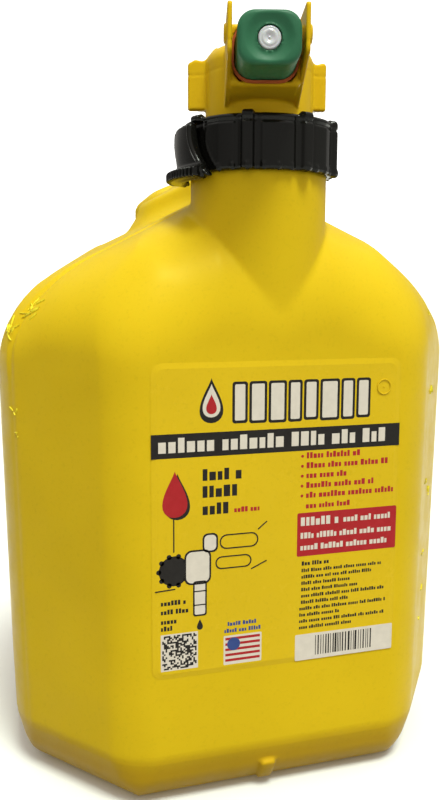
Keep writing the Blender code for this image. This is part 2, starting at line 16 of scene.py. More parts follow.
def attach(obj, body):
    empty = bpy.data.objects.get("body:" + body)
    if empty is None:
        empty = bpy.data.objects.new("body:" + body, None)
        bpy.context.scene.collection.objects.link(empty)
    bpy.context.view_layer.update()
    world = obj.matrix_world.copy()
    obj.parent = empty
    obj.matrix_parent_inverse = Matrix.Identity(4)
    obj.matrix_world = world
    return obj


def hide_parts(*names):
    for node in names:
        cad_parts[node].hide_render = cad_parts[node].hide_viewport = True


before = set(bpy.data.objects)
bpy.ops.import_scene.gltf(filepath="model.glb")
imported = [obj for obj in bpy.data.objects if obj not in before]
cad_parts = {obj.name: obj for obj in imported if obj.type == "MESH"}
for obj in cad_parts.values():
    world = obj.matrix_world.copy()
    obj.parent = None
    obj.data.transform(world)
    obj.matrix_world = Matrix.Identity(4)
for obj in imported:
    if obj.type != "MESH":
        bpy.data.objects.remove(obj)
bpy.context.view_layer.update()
MM = 0.001

# The can, in millimetres
CAN_DEPTH = 264.0
FRONT_Y = -CAN_DEPTH / 2.0
RIDGE_Z = 363.0
SLOPE = 0.51
BASE_CREASE_Z = 31.0
GRIP_HALF = 19.0
HOLE = (150.0, 236.0, 330.0, 357.0)

# The line on which the collar and the head turn
NECK_Y = FRONT_Y + 41.0
NECK_RADIUS = 39.5
NECK_STEP_Z = 363.0
LIP_Z = 382.5

# Collar
COLLAR_LOW = 362.0
COLLAR_HIGH = 392.3
COLLAR_RADIUS = 43.2
RIB_PITCH = math.radians(45.0)
RIB_START = math.radians(17.2)
TAB_AZIMUTH = 92.0

# Head
HEAD_TURN = math.radians(-16.5)
AXIS_Z = 419.0
HEAD_TOP = 434.0
HEAD_RADIUS = 31.0
FLANGE_TOP = 389.1
FIN_LOW = 399.8
GUARD_TOP = 437.5
GUARD_OFFSET = 19.3

# Trimmed flash: a ridge's points and size, and where the groups of ridges are on each side of the
# can, as (y, z, size of the group, ridges)
FLECK_POINTS = 6
FLECK_HALF_WIDTH = 0.48
FLECK_HEIGHT = 0.8
FLECK_SUNK = 0.3
RIGHT_FLECKS = (
    (-96.0, 282.0, 6.0, 3), (-104.0, 231.0, 6.0, 3), (-97.0, 234.0, 6.0, 3), (-104.0, 176.0, 6.0, 3),
    (-92.0, 165.0, 6.0, 3), (-102.0, 127.0, 6.0, 3), (-100.0, 101.0, 5.0, 3), (-106.0, 84.0, 5.0, 3),
)
LEFT_FLECKS = (
    (-66.0, 285.0, 12.0, 9), (-60.0, 272.0, 10.0, 9), (-66.0, 225.0, 5.0, 3), (-66.0, 212.0, 4.0, 3),
)

# The room's brightness in front of the can, beside and behind it, overhead, and below it
WORLD_FRONT = 0.78
WORLD_SIDES = 0.34
WORLD_ABOVE = 0.8
WORLD_BELOW = 0.35

# The key light: where it comes from, its strength, its spread in degrees and its colour
KEY_DIRECTION = (0.06, -0.42, 0.90)
KEY_STRENGTH = 2.65
KEY_SPREAD = 18.0
KEY_COLOUR = (0.92, 1.0, 0.88)

# The camera: its lens and sensor in millimetres, its place in metres, and its angles in degrees
CAMERA_LENS = 38.28
CAMERA_SENSOR = 36.0
CAMERA_PLACE = (-0.1754, -0.5722, 0.3011)
CAMERA_TURN = -17.71
CAMERA_DOWN = 7.83
CAMERA_ROLL = 0.24

# Front label: its outer face, and the height of the line its artwork is measured from
LABEL_FACE = FRONT_Y - 0.5
LABEL_Z = 220.0


# ---------------------------------------------------------------- fields

def both(a, b, r):
    """Where two fields overlap, with the edge between them rounded."""
    u = np.maximum(a + r, 0.0)
    v = np.maximum(b + r, 0.0)
    return np.minimum(np.maximum(a, b), -r) + np.sqrt(u * u + v * v)


def either(a, b, r):
    """Two fields joined, with a fillet in the corner between them."""
    u = np.maximum(r - a, 0.0)
    v = np.maximum(r - b, 0.0)
    return np.maximum(np.minimum(a, b), r) - np.sqrt(u * u + v * v)


def without(a, b, r):
    """The first field with the second cut away, leaving a rounded edge."""
    return both(a, -b, r)


def all_of(fields, r):
    """Where all the fields overlap, with every edge rounded."""
    result = fields[0]
    for other in fields[1:]:
        result = both(result, other, r)
    return result


def ramp(value, start, end):
    """0 before start and 1 after end, with a smooth rise between."""
    t = np.clip((value - start) / (end - start), 0.0, 1.0)
    return t * t * (3.0 - 2.0 * t)


def bump(value, width):
    """1 at zero, falling smoothly to 0 at the width on either side."""
    t = np.clip(np.abs(value) / width, 0.0, 1.0)
    return (1.0 - t * t) ** 2


def side_plane(a, b, start, end):
    """Signed distance from the line through two points, positive on its right-hand side."""
    (a0, b0), (a1, b1) = start, end
    length = math.hypot(a1 - a0, b1 - b0)
    return ((b1 - b0) * (a - a0) - (a1 - a0) * (b - b0)) / length


def meshed(name, field, low, high, step, body, material, place=Matrix.Identity(4)):
    """Meshes a field inside a box and returns the piece, which rides on a body."""
    starts = [a - 2.0 * step for a in low]
    counts = [int(math.ceil((b - a) / step)) + 5 for a, b in zip(low, high)]
    axes = [s + step * np.arange(n) for s, n in zip(starts, counts)]
    grid = np.meshgrid(*[a.astype(np.float32) for a in axes], indexing="ij", sparse=True)
    values = np.ascontiguousarray(np.broadcast_to(field(*grid), counts))
    inside = values < 0.0
    cells_shape = tuple(n - 1 for n in counts)
    total = np.zeros(cells_shape, np.int8)
    for offset in product((0, 1), repeat=3):
        total += inside[tuple(slice(o, o + n) for o, n in zip(offset, cells_shape))]
    active = (total > 0) & (total < 8)
    index = np.full(cells_shape, -1, np.int64)
    index[active] = np.arange(int(active.sum()))
    cells = np.argwhere(active)
    sums = np.zeros((len(cells), 3))
    found = np.zeros(len(cells))
    for axis in range(3):
        along = np.eye(3, dtype=int)[axis]
        for corner in product((0, 1), repeat=3):
            if corner[axis]:
                continue
            near = cells + np.array(corner)
            far = near + along
            v0 = values[tuple(near.T)]
            v1 = values[tuple(far.T)]
            crossed = (v0 < 0.0) != (v1 < 0.0)
            share = v0[crossed] / (v0[crossed] - v1[crossed])
            sums[crossed] += near[crossed] + share[:, None] * along
            found[crossed] += 1.0
    points = sums / found[:, None] * step + np.array(starts)
    points = settled(field, points, step)
    faces = []
    for axis in range(3):
        b, c = (axis + 1) % 3, (axis + 2) % 3
        first = [slice(1, n - 1) for n in counts]
        second = list(first)
        first[axis] = slice(0, counts[axis] - 1)
        second[axis] = slice(1, counts[axis])
        here, there = inside[tuple(first)], inside[tuple(second)]
        for outward, where in ((True, here & ~there), (False, ~here & there)):
            at = np.argwhere(where)
            for k in (b, c):
                at[:, k] += 1
            quad = []
            for down_b, down_c in ((1, 1), (0, 1), (0, 0), (1, 0)):
                cell = at.copy()
                cell[:, b] -= down_b
                cell[:, c] -= down_c
                quad.append(index[tuple(cell.T)])
            quad = np.stack(quad, axis=1)
            faces.append(quad if outward else quad[:, ::-1])
    faces = np.concatenate(faces)
    mesh = bpy.data.meshes.new(name)
    mesh.from_pydata((points * MM).tolist(), [], faces.tolist())
    mesh.transform(place)
    mesh.shade_smooth()
    piece = bpy.data.objects.new(name, mesh)
    bpy.context.scene.collection.objects.link(piece)
    mesh.materials.append(material)
    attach(piece, body)
    return piece


def settled(field, points, step):
    """Moves points along the field's slope until they lie on its surface."""
    h = 0.2 * step
    for _ in range(4):
        x, y, z = points.T
        value = field(x, y, z)
        slope = np.stack([
            field(x + h, y, z) - field(x - h, y, z),
            field(x, y + h, z) - field(x, y - h, z),
            field(x, y, z + h) - field(x, y, z - h),
        ], axis=1) / (2.0 * h)
        move = -slope * (value / np.maximum((slope * slope).sum(axis=1), 0.2))[:, None]
        points = points + np.clip(move, -0.6 * step, 0.6 * step)
    return points


# ---------------------------------------------------------------- materials

def shader_of(name, colour, roughness, coat=0.0, subsurface=0.0, shine=0.5, tint=(1.0, 1.0, 1.0), ior=1.5):
    """A new material with one Principled shader, and its node tree's helpers."""
    material = bpy.data.materials.new(name)
    material.use_nodes = True
    tree = material.node_tree
    shader = tree.nodes["Principled BSDF"]
    shader.inputs["Base Color"].default_value = (*colour, 1.0)
    shader.inputs["Roughness"].default_value = roughness
    shader.inputs["Coat Weight"].default_value = coat
    shader.inputs["Coat Roughness"].default_value = 0.12
    shader.inputs["Subsurface Weight"].default_value = subsurface
    shader.inputs["Subsurface Radius"].default_value = (0.012, 0.006, 0.002)
    shader.inputs["Subsurface Scale"].default_value = 0.4
    shader.inputs["Specular IOR Level"].default_value = shine
    shader.inputs["Specular Tint"].default_value = (*tint, 1.0)
    shader.inputs["IOR"].default_value = ior
    return material, tree, shader


def node(tree, kind, **settings):
    made = tree.nodes.new(kind)
    for key, value in settings.items():
        if hasattr(made, key):
            setattr(made, key, value)
        else:
            made.inputs[key.replace("_", " ")].default_value = value
    return made


def noise(tree, scale, detail=4.0, roughness=0.55, stretch=(1.0, 1.0, 1.0)):
    """Noise in the object's own space, in metres, stretched along its axes."""
    coords = node(tree, "ShaderNodeTexCoord")
    mapping = node(tree, "ShaderNodeMapping")
    mapping.inputs["Scale"].default_value = stretch
    tree.links.new(coords.outputs["Object"], mapping.inputs["Vector"])
    made = node(tree, "ShaderNodeTexNoise", Scale=scale, Detail=detail, Roughness=roughness)
    tree.links.new(mapping.outputs["Vector"], made.inputs["Vector"])
    return made.outputs["Fac"]


def ramped(tree, source, stops):
    """A colour ramp with (position, colour or grey) stops."""
    made = node(tree, "ShaderNodeValToRGB")
    elements = made.color_ramp.elements
    while len(elements) < len(stops):
        elements.new(0.5)
    for element, (position, colour) in zip(elements, stops):
        element.position = position
        element.color = (*colour, 1.0) if isinstance(colour, tuple) else (colour, colour, colour, 1.0)
    tree.links.new(source, made.inputs["Fac"])
    return made.outputs["Color"]


def mixed(tree, share, a, b, kind="MIX"):
    made = node(tree, "ShaderNodeMix", data_type="RGBA", blend_type=kind)
    for socket, value in ((made.inputs[0], share), (made.inputs[6], a), (made.inputs[7], b)):
        if isinstance(value, bpy.types.NodeSocket):
            tree.links.new(value, socket)
        elif isinstance(value, tuple):
            socket.default_value = (*value, 1.0)
        else:
            socket.default_value = value
    return made.outputs[2]


def bumped(tree, shader, layers):
    """Bump layers of (source, height in metres)."""
    last = None
    for source, height in layers:
        made = node(tree, "ShaderNodeBump", Strength=1.0, Distance=height)
        tree.links.new(source, made.inputs["Height"])
        if last:
            tree.links.new(last, made.inputs["Normal"])
        last = made.outputs["Normal"]
    tree.links.new(last, shader.inputs["Normal"])


def moulded(name, colour, roughness, spread=0.06, grain=900.0, grain_height=0.00002, foot=None, **finish):
    """Moulded plastic: broad tone changes, a fine skin, scuffs and a little unevenness."""
    material, tree, shader = shader_of(name, colour, roughness, **finish)
    dark = tuple(c * (1.0 - spread) for c in colour)
    light = tuple(min(c * (1.0 + spread), 1.0) for c in colour)
    tone = ramped(tree, noise(tree, 9.0, 3.0), [(0.35, dark), (0.65, light)])
    specks = ramped(tree, noise(tree, 420.0, 5.0, 0.7), [(0.30, 0.88), (0.46, 1.0)])
    shade = mixed(tree, 0.6, tone, specks, "MULTIPLY")
    # foot: a tint of painted shade laid over the can's rounded foot
    if foot:
        shade = mixed(tree, 1.0, shade, painted_shade_at_foot(tree, foot), "MULTIPLY")
    tree.links.new(shade, shader.inputs["Base Color"])
    scuffs = ramped(tree, noise(tree, 60.0, 8.0, 0.7), [(0.40, roughness * 0.85), (0.70, roughness * 1.3)])
    tree.links.new(scuffs, shader.inputs["Roughness"])
    bumped(tree, shader, [(noise(tree, 22.0, 2.0), 0.0006), (noise(tree, grain, 3.0), grain_height)])
    return material


def painted_shade_at_foot(tree, foot):
    """White, going to a deeper tint on the can's rounded foot: painted shade, darker towards the bottom."""
    coords = node(tree, "ShaderNodeTexCoord")
    parts = node(tree, "ShaderNodeSeparateXYZ")
    tree.links.new(coords.outputs["Object"], parts.inputs["Vector"])
    height = node(tree, "ShaderNodeMapRange", From_Max=0.1)
    tree.links.new(parts.outputs["Z"], height.inputs["Value"])
    half = tuple(0.5 + 0.5 * c for c in foot)
    stops = [(0.0, foot), (0.22, foot), (0.305, half), (0.33, (1.0, 1.0, 1.0))]
    return ramped(tree, height.outputs["Result"], stops)


def flat_print(name, colour, roughness=0.35):
    """Printed ink on film, slightly uneven in cover."""
    material, tree, shader = shader_of(name, colour, roughness, shine=0.2)
    worn = tuple(min(c * 1.08 + 0.004, 1.0) for c in colour)
    cover = ramped(tree, noise(tree, 260.0, 4.0), [(0.35, colour), (0.75, worn)])
    tree.links.new(cover, shader.inputs["Base Color"])
    bumped(tree, shader, [(noise(tree, 30.0, 2.0), 0.0003)])
    return material


GOLD = (1.0, 0.86, 0.30)
# The can's colour deepens on its rounded foot: painted shade, from the foot tint below.
CAN = moulded(
    "can_polyethylene", (0.70, 0.480, 0.011), 0.38, 0.04,
    foot=(0.80, 0.72, 0.95), subsurface=0.08, shine=0.5, tint=GOLD, ior=1.22,
)
HEAD = moulded(
    "head_plastic", (0.72, 0.46, 0.010), 0.33, 0.05, 1500.0, subsurface=0.05, shine=0.5, tint=GOLD, ior=1.25
)
BLACK = moulded("collar_plastic", (0.0065, 0.0065, 0.0055), 0.13, 0.2, 700.0, 0.00001, ior=1.27)
GREEN = moulded("button_plastic", (0.022, 0.135, 0.062), 0.48, 0.15, 1800.0, 0.00004, shine=0.25)
CLEAR = moulded("plug_plastic", (0.60, 0.61, 0.64), 0.22, 0.05, coat=0.3, subsurface=0.2)
ORANGE = moulded("seal_rubber", (0.50, 0.10, 0.02), 0.5, 0.1, shine=0.3)
RUBBER = moulded("ring_rubber", (0.02, 0.02, 0.02), 0.6, 0.2)
STEEL = moulded("drawn_steel", (0.55, 0.56, 0.58), 0.3, 0.1)
STEEL.node_tree.nodes["Principled BSDF"].inputs["Metallic"].default_value = 1.0
FILM = moulded("label_film", (0.70, 0.475, 0.011), 0.24, 0.03, shine=0.26, tint=GOLD)
# Painted highlight: the flash ridges are coloured lighter and more lemon than the can, standing in for the
# glints on them.
FLASH_PAINTED_GLINT = moulded("trimmed_flash_painted_glint", (0.95, 0.80, 0.04), 0.30, 0.08, shine=0.4, tint=GOLD)
INK_BLACK = flat_print("ink_black", (0.006, 0.004, 0.003))
INK_RED = flat_print("ink_red", (0.38, 0.012, 0.016))
INK_PALE = flat_print("ink_pale", (0.68, 0.62, 0.53))
INK_BLUE = flat_print("ink_blue", (0.03, 0.06, 0.22))


# ---------------------------------------------------------------- can body

def can_shell(x, y, z):
    """The blow-moulded tank: a chamfered box with a ridged, generously rounded top."""
    s = y - FRONT_Y
    width = 1.0 - 0.035 * np.maximum(1.0 - z / 250.0, 0.0)
    a = np.abs(x) / width
    chamfer = 0.789 * (a - 92.0) - 0.615 * (s - 2.0)
    side = a - 149.0 + 0.045 * (s - 70.0)
    rear = 0.8595 * (a - 144.0) + 0.511 * (s - 190.0)
    flank = both(both(chamfer, side, 9.9), rear, 6.6)
    wall = both(both(-s, flank, 13.9 + 22.0 * ramp(z, 250.0, 340.0)), s - CAN_DEPTH, 8.8)
    ridge = np.sqrt(x * x + 49.0) - 3.0
    top = (z + SLOPE * ridge - RIDGE_Z) / math.hypot(1.0, SLOPE)
    on_flank = ramp(flank + s, -30.0, 50.0)
    at_back = ramp(s, CAN_DEPTH - 70.0, CAN_DEPTH)
    front_radius = 64.0 + 19.0 * np.maximum(1.0 - np.sqrt(x * x + 6.0) / 34.0, 0.0)
    flank_radius = 34.0 + 56.0 * ramp(s, 80.0, 230.0)
    radius = front_radius + (flank_radius - front_radius) * on_flank
    radius = radius + (36.0 - radius) * at_back * (1.0 - on_flank)
    body = both(wall, top, radius)
    below = BASE_CREASE_Z - z
    body = body + 0.15 * (below + np.sqrt(below * below + 2.0))
    return both(body, -0.80 * z, 15.0)


def handle_root(x, y, z):
    """The raised root behind the neck, the grip, and the foot behind the hand-hole."""
    s = y - FRONT_Y
    a = np.abs(x)
    roof = (z + SLOPE * (np.sqrt(a * a + 36.0) - 6.0) - RIDGE_Z - 12.5) / math.hypot(1.0, SLOPE)
    leaning = a + 0.38 * np.maximum(z - 340.0, 0.0) - 1.5
    front = side_plane(leaning, -s, (48.0, -134.0), (28.0, -113.0))
    cheek = side_plane(leaning, -s, (52.0, -150.0), (48.0, -134.0))
    back = side_plane(leaning, -s, (19.0, -174.0), (52.0, -150.0))
    root = all_of([roof, np.maximum(100.0 - s, front), cheek, back, 300.0 - z], 2.5)
    bar = all_of([roof, a - GRIP_HALF, s - 250.0, 110.0 - s, 300.0 - z], 6.0)
    foot = all_of([roof, a - 22.0 - 0.3 * (s - 226.0), 228.0 - s, s - 254.0, 300.0 - z], 5.0)
    return either(either(root, bar, 10.0), foot, 10.0)


def hand_hole(x, y, z):
    s = y - FRONT_Y
    low, high, floor, roof = HOLE
    return all_of([low - s, s - high, floor - z, z - roof], 13.0) + 0.0 * x


def can_body(x, y, z):
    s = y - FRONT_Y
    body = can_shell(x, y, z)
    reach = np.sqrt(x * x + (y - NECK_Y) ** 2)
    neck = both(reach - NECK_RADIUS, z - NECK_STEP_Z, 1.5)
    neck = np.maximum(neck, 287.5 - z)
    fillet = 0.8 + 3.5 * ramp(s, 12.0, 60.0)
    body = either(body, neck, fillet)
    body = either(body, handle_root(x, y, z), 7.0)
    body = without(body, hand_hole(x, y, z), 4.0)
    body = body + creases(x, s, z, reach)
    body = np.minimum(body, np.maximum(foot_nub(x, z, body), s - 30.0))
    finish = both(reach - 36.6, z - LIP_Z, 0.8)
    body = np.minimum(body, np.maximum(finish, 350.0 - z))
    bore = np.maximum(reach - 33.6, 287.0 - z)
    return np.maximum(body, -bore)


def creases(x, s, z, reach):
    """Shallow mould marks: the seam behind the front, and the line above the base."""
    a = np.abs(x)
    high = ramp(z, 236.0, 262.0) * ramp(reach, 42.0, 52.0)
    seam = 66.0 + 2.5 * ramp(a, 110.0, 146.0)
    groove = bump(s - seam, 2.4) * (0.35 + 0.65 * high) * ramp(z, 24.0, 34.0) * ramp(reach, 42.0, 52.0)
    lifted = -0.9 * ramp(s, seam - 1.0, seam + 2.5) * (1.0 - ramp(s, seam + 14.0, seam + 22.0)) * high
    base = 0.35 * bump(z - BASE_CREASE_Z, 1.3)
    return groove + lifted + base


def foot_nub(x, z, body):
    """The small block left by the mould at the middle of the front's foot."""
    return all_of([np.abs(x + 4.0) - 4.4, np.abs(z - 11.5) - 7.5, body - 2.8], 1.2)


def make_can():
    low = (-150.0, -132.0, 0.0)
    high = (150.0, 132.0, LIP_Z)
    piece = meshed("can_body_skin", can_body, low, high, 1.9, "can", CAN)
    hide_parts("can_body")
    return piece


def dial_body(x, y, z):
    """The moulded date dial, a low disc with a ring and a bump at its centre, raised under the film."""
    r = np.hypot(x - 64.0, z - 241.8)
    height = 0.25 + 0.35 * bump(r - 4.2, 0.9) + 0.3 * bump(r, 1.2)
    return all_of([r - 5.2, LABEL_FACE - height - y, y - LABEL_FACE + 0.3], 0.3)


def make_dial():
    low = (58.5, LABEL_FACE - 0.8, 236.3)
    high = (69.5, LABEL_FACE, 247.3)
    piece = meshed("date_dial", dial_body, low, high, 0.16, "can", FILM)


def fleck(rng, skin, side, y, z, size, strokes):
    """The centre lines of a few short ridges on the can's side, as (place, normal) points."""
    lines = []
    for _ in range(strokes):
        angle = rng.uniform(0.0, math.pi)
        start = Vector((0.0, y + rng.uniform(-0.4, 0.4) * size, z + rng.uniform(-0.5, 0.5) * size))
        reach = rng.uniform(0.35, 0.75) * size
        step = Vector((0.0, math.cos(angle), math.sin(angle))) * reach / (FLECK_POINTS - 1)
        line = []
        for k in range(FLECK_POINTS):
            at = start + step * k
            origin = Vector((side * 200.0, at.y, at.z)) * MM
            hit, place, normal, _ = skin.ray_cast(origin, Vector((-side, 0.0, 0.0)))
            if hit:
                line.append((place, normal))
        if len(line) == FLECK_POINTS:
            lines.append(line)
    return lines


def make_flecks(skin):
    """Low three-sided ridges left on the can's sides where flash was trimmed, in a colour lighter than the
    can's: painted highlight for their glints.
    """
    rng = np.random.default_rng(5)
    lines = []
    for y, z, size, strokes in RIGHT_FLECKS:
        lines += fleck(rng, skin, 1.0, y, z, size, strokes)
    for y, z, size, strokes in LEFT_FLECKS:
        lines += fleck(rng, skin, -1.0, y, z, size, strokes)
    verts = []
    faces = []
    for line in lines:
        first = len(verts)
        along = (line[-1][0] - line[0][0]).normalized()
        for k, (place, normal) in enumerate(line):
            half = FLECK_HALF_WIDTH * MM * (0.35 if k in (0, FLECK_POINTS - 1) else 1.0)
            across = normal.cross(along).normalized() * half
            sunk = normal * FLECK_SUNK * MM
            verts += [place - across - sunk, place + normal * FLECK_HEIGHT * MM, place + across - sunk]
        for k in range(FLECK_POINTS - 1):
            a = first + 3 * k
            for i in range(3):
                j = (i + 1) % 3
                faces.append([a + i, a + 3 + i, a + 3 + j, a + j])
        faces.append([first + 2, first + 1, first])
        last = first + 3 * (FLECK_POINTS - 1)
        faces.append([last, last + 1, last + 2])
    mesh = bpy.data.meshes.new("trimmed_flash_painted_glint")
    mesh.from_pydata([tuple(v) for v in verts], [], faces)
    mesh.shade_smooth()
    piece = bpy.data.objects.new("trimmed_flash_painted_glint", mesh)
    bpy.context.scene.collection.objects.link(piece)
    mesh.materials.append(FLASH_PAINTED_GLINT)
    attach(piece, "can")


# ---------------------------------------------------------------- label artwork

def box(x0, z0, x1, z1, r=0.0):
    """A rectangle's outline on the label, anticlockwise from the front, with rounded corners."""
    if r <= 0.0:
        return [(x0, z0), (x1, z0), (x1, z1), (x0, z1)]
    points = []
    left, right, low, high = x0 + r, x1 - r, z0 + r, z1 - r
    for cx, cz, start in ((right, low, -90), (right, high, 0), (left, high, 90), (left, low, 180)):
        for k in range(5):
            angle = math.radians(start + 22.5 * k)
            points.append((cx + r * math.cos(angle), cz + r * math.sin(angle)))
    return points


def disc(x, z, r, sides=24):
    angles = [math.tau * k / sides for k in range(sides)]
    return [(x + r * math.cos(angle), z + r * math.sin(angle)) for angle in angles]


def drop(x, z, r, lean=0.0):
    """A droplet's outline, with its round end at the bottom."""
    points = []
    for k in range(28):
        t = math.tau * k / 28
        narrow = math.sin(t / 2.0) ** 1.6
        points.append((x + r * 1.15 * math.sin(t) * narrow + lean * math.cos(t), z + 1.45 * r * math.cos(t)))
    return points[::-1]


def frame_between(outer, inner):
    """The band between two outlines with the same number of points, as quads."""
    count = len(outer)
    return [[outer[k], outer[(k + 1) % count], inner[(k + 1) % count], inner[k]] for k in range(count)]


def outlined(x0, z0, x1, z1, r, width):
    inner = box(x0 + width, z0 + width, x1 - width, z1 - width, r - width * 0.6)
    return frame_between(box(x0, z0, x1, z1, r), inner)


def stroke(points, width):
    """A drawn line: a quad for each stretch and a dot at each bend."""
    shapes = []
    for (ax, az), (bx, bz) in zip(points, points[1:]):
        length = math.hypot(bx - ax, bz - az)
        nx, nz = (az - bz) / length * width / 2.0, (bx - ax) / length * width / 2.0
        shapes.append([(ax - nx, az - nz), (bx - nx, bz - nz), (bx + nx, bz + nz), (ax + nx, az + nz)])
    return shapes + [disc(x, z, width / 2.0, 8) for x, z in points]


def words(rng, x0, x1, z, height):
    """A row of small blocks that reads as a line of print from a distance, with no letters in it."""
    shapes = []
    x = x0
    while True:
        for _ in range(rng.integers(3, 8)):
            wide = height * rng.uniform(0.38, 0.60)
            if x + wide > x1:
                return shapes
            tall = height * (1.0 if rng.random() < 0.35 else 0.74)
            shapes.append(box(x, z, x + wide, z + tall))
            x += wide + 0.17 * height
        x += 0.42 * height


def printed(name, shapes, material):
    """Ink on the label: each shape is an outline and its layer, and stands a little proud of the film."""
    verts = []
    faces = []
    for outline, layer in shapes:
        first, count = len(verts), len(outline)
        front = LABEL_FACE - 0.04 * layer
        verts += [(x * MM, front * MM, (LABEL_Z + z) * MM) for x, z in outline]
        verts += [(x * MM, LABEL_FACE * MM, (LABEL_Z + z) * MM) for x, z in outline]
        faces.append(list(range(first, first + count)))
        faces.append(list(range(first + 2 * count - 1, first + count - 1, -1)))
        for k in range(count):
            n = (k + 1) % count
            faces.append([first + k, first + count + k, first + count + n, first + n])
    mesh = bpy.data.meshes.new(name)
    mesh.from_pydata(verts, [], faces)
    piece = bpy.data.objects.new(name, mesh)
    bpy.context.scene.collection.objects.link(piece)
    mesh.materials.append(material)
    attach(piece, "can")
    return piece


def make_label():
    """The clear film, with an edge that feathers down to the can."""
    rim = box(-75.0, -139.9, 75.0, 38.6, 6.0)
    top = box(-71.8, -136.7, 71.8, 35.4, 4.0)
    count = len(rim)
    verts = [(x * MM, (FRONT_Y - 0.03) * MM, (LABEL_Z + z) * MM) for x, z in rim]
    verts += [(x * MM, LABEL_FACE * MM, (LABEL_Z + z) * MM) for x, z in top]
    faces = [list(range(count, 2 * count)), list(range(count - 1, -1, -1))]
    for k in range(count):
        n = (k + 1) % count
        faces.append([k, n, count + n, count + k])
    mesh = bpy.data.meshes.new("label_skin")
    mesh.from_pydata(verts, [], faces)
    mesh.materials.append(FILM)
    piece = bpy.data.objects.new("label_skin", mesh)
    bpy.context.scene.collection.objects.link(piece)
    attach(piece, "can")
    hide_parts("front_label")


def heading(rng):
    """The big heading: a droplet and a row of plain outlined blocks."""
    black = [(drop(-41.0, 17.5, 8.6), 1)]
    pale = [(drop(-41.0, 17.5, 6.4), 2)]
    red = [(drop(-41.0, 15.5, 3.8), 3)]
    x = -29.0
    while x < 50.0:
        wide = rng.uniform(8.5, 12.5)
        end = min(x + wide, 57.0)
        foot = 4.0 + 0.4 * math.sin(x)
        black.append((box(x, foot, end, 27.5, 1.6), 1))
        pale.append((box(x + 1.5, foot + 1.6, end - 1.5, 26.0, 0.8), 2))
        x = end + 0.9
    return black, pale, red


def band(rng):
    """The black band with its pale line."""
    black = [(box(-75.0, -13.4, 75.0, 0.0), 1)]
    return black, [(shape, 2) for shape in words(rng, -71.0, 71.0, -10.4, 8.2)]


def contents(rng):
    """The big red droplet, the three short lines beside it, and the red list."""
    black = [(drop(-60.3, -35.0, 9.0), 1)]
    red = [(drop(-61.8, -33.6, 9.0), 2)]
    for z, end in ((-27.0, -20.0), (-36.6, -21.5), (-46.4, -30.5)):
        black += [(shape, 1) for shape in words(rng, -46.0, end, z, 6.6)]
    red += [(shape, 1) for shape in words(rng, -27.5, -11.0, -46.2, 3.0)]
    for k in range(5):
        z = -18.0 - 5.8 * k
        red.append((disc(13.4, z + 1.4, 0.9, 10), 1))
        red += [(shape, 1) for shape in words(rng, 16.0, (52.0, 70.0, 42.0, 60.0, 72.0)[k], z, 3.5)]
    red += [(shape, 1) for shape in words(rng, 16.0, 44.0, -47.4, 3.2)]
    return black, red


def notice(rng):
    """The red notice with pale lines, and the fine print under it."""
    red = [(box(10.8, -75.8, 74.6, -49.9, 1.0), 1)]
    pale = [(shape, 2) for shape in words(rng, 13.0, 37.0, -57.6, 5.0)]
    pale += [(shape, 2) for shape in words(rng, 40.0, 72.0, -57.2, 3.6)]
    pale += [(shape, 2) for shape in words(rng, 13.0, 73.0, -65.2, 3.5)]
    pale += [(shape, 2) for shape in words(rng, 13.0, 69.0, -72.2, 3.5)]
    black = [(shape, 1) for shape in words(rng, 14.0, 32.0, -81.4, 2.5)]
    for k in range(10):
        end = (66.0, 61.0, 46.0, 50.0, 68.0, 44.0, 70.0, 40.0, 69.0, 48.0)[k]
        black += [(shape, 1) for shape in words(rng, 14.0 if k < 6 else 13.0, end, -85.4 - 3.85 * k, 2.1)]
    return black, red, pale


def stripes(rng):
    """The pale panel with plain bars of seeded widths."""
    pale = [(box(10.6, -139.4, 74.2, -123.4, 0.8), 1)]
    black = []
    x = 23.5
    while x < 60.0:
        wide = rng.choice([0.45, 0.8, 1.2])
        black.append((box(x, -137.0, x + wide, -125.0), 2))
        x += wide + rng.choice([0.5, 0.8, 1.1])
    return black, pale


def speckled(rng):
    """The pale square filled with a seeded pattern of small squares."""
    x0, z0, cell, count = -69.4, -134.1, 0.95, 21
    pale = [(box(x0 - 0.8, z0 - 0.8, x0 + cell * count + 0.8, z0 + cell * count + 0.8), 1)]
    filled = rng.random((count, count)) < 0.52
    black = []
    for i, j in np.argwhere(filled):
        x, z = x0 + cell * i, z0 + cell * j
        black.append((box(x, z, x + cell, z + cell), 2))
    return black, pale


def striped_panel():
    """A pale panel with red bars and a blue disc."""
    pale = [(box(-33.4, -135.8, -10.4, -118.4, 0.6), 1)]
    red = [(box(-32.4, -133.9 + 3.2 * k, -11.4, -132.4 + 3.2 * k), 2) for k in range(5)]
    blue = [(disc(-27.4, -123.6, 3.9), 3)]
    return pale, red, blue


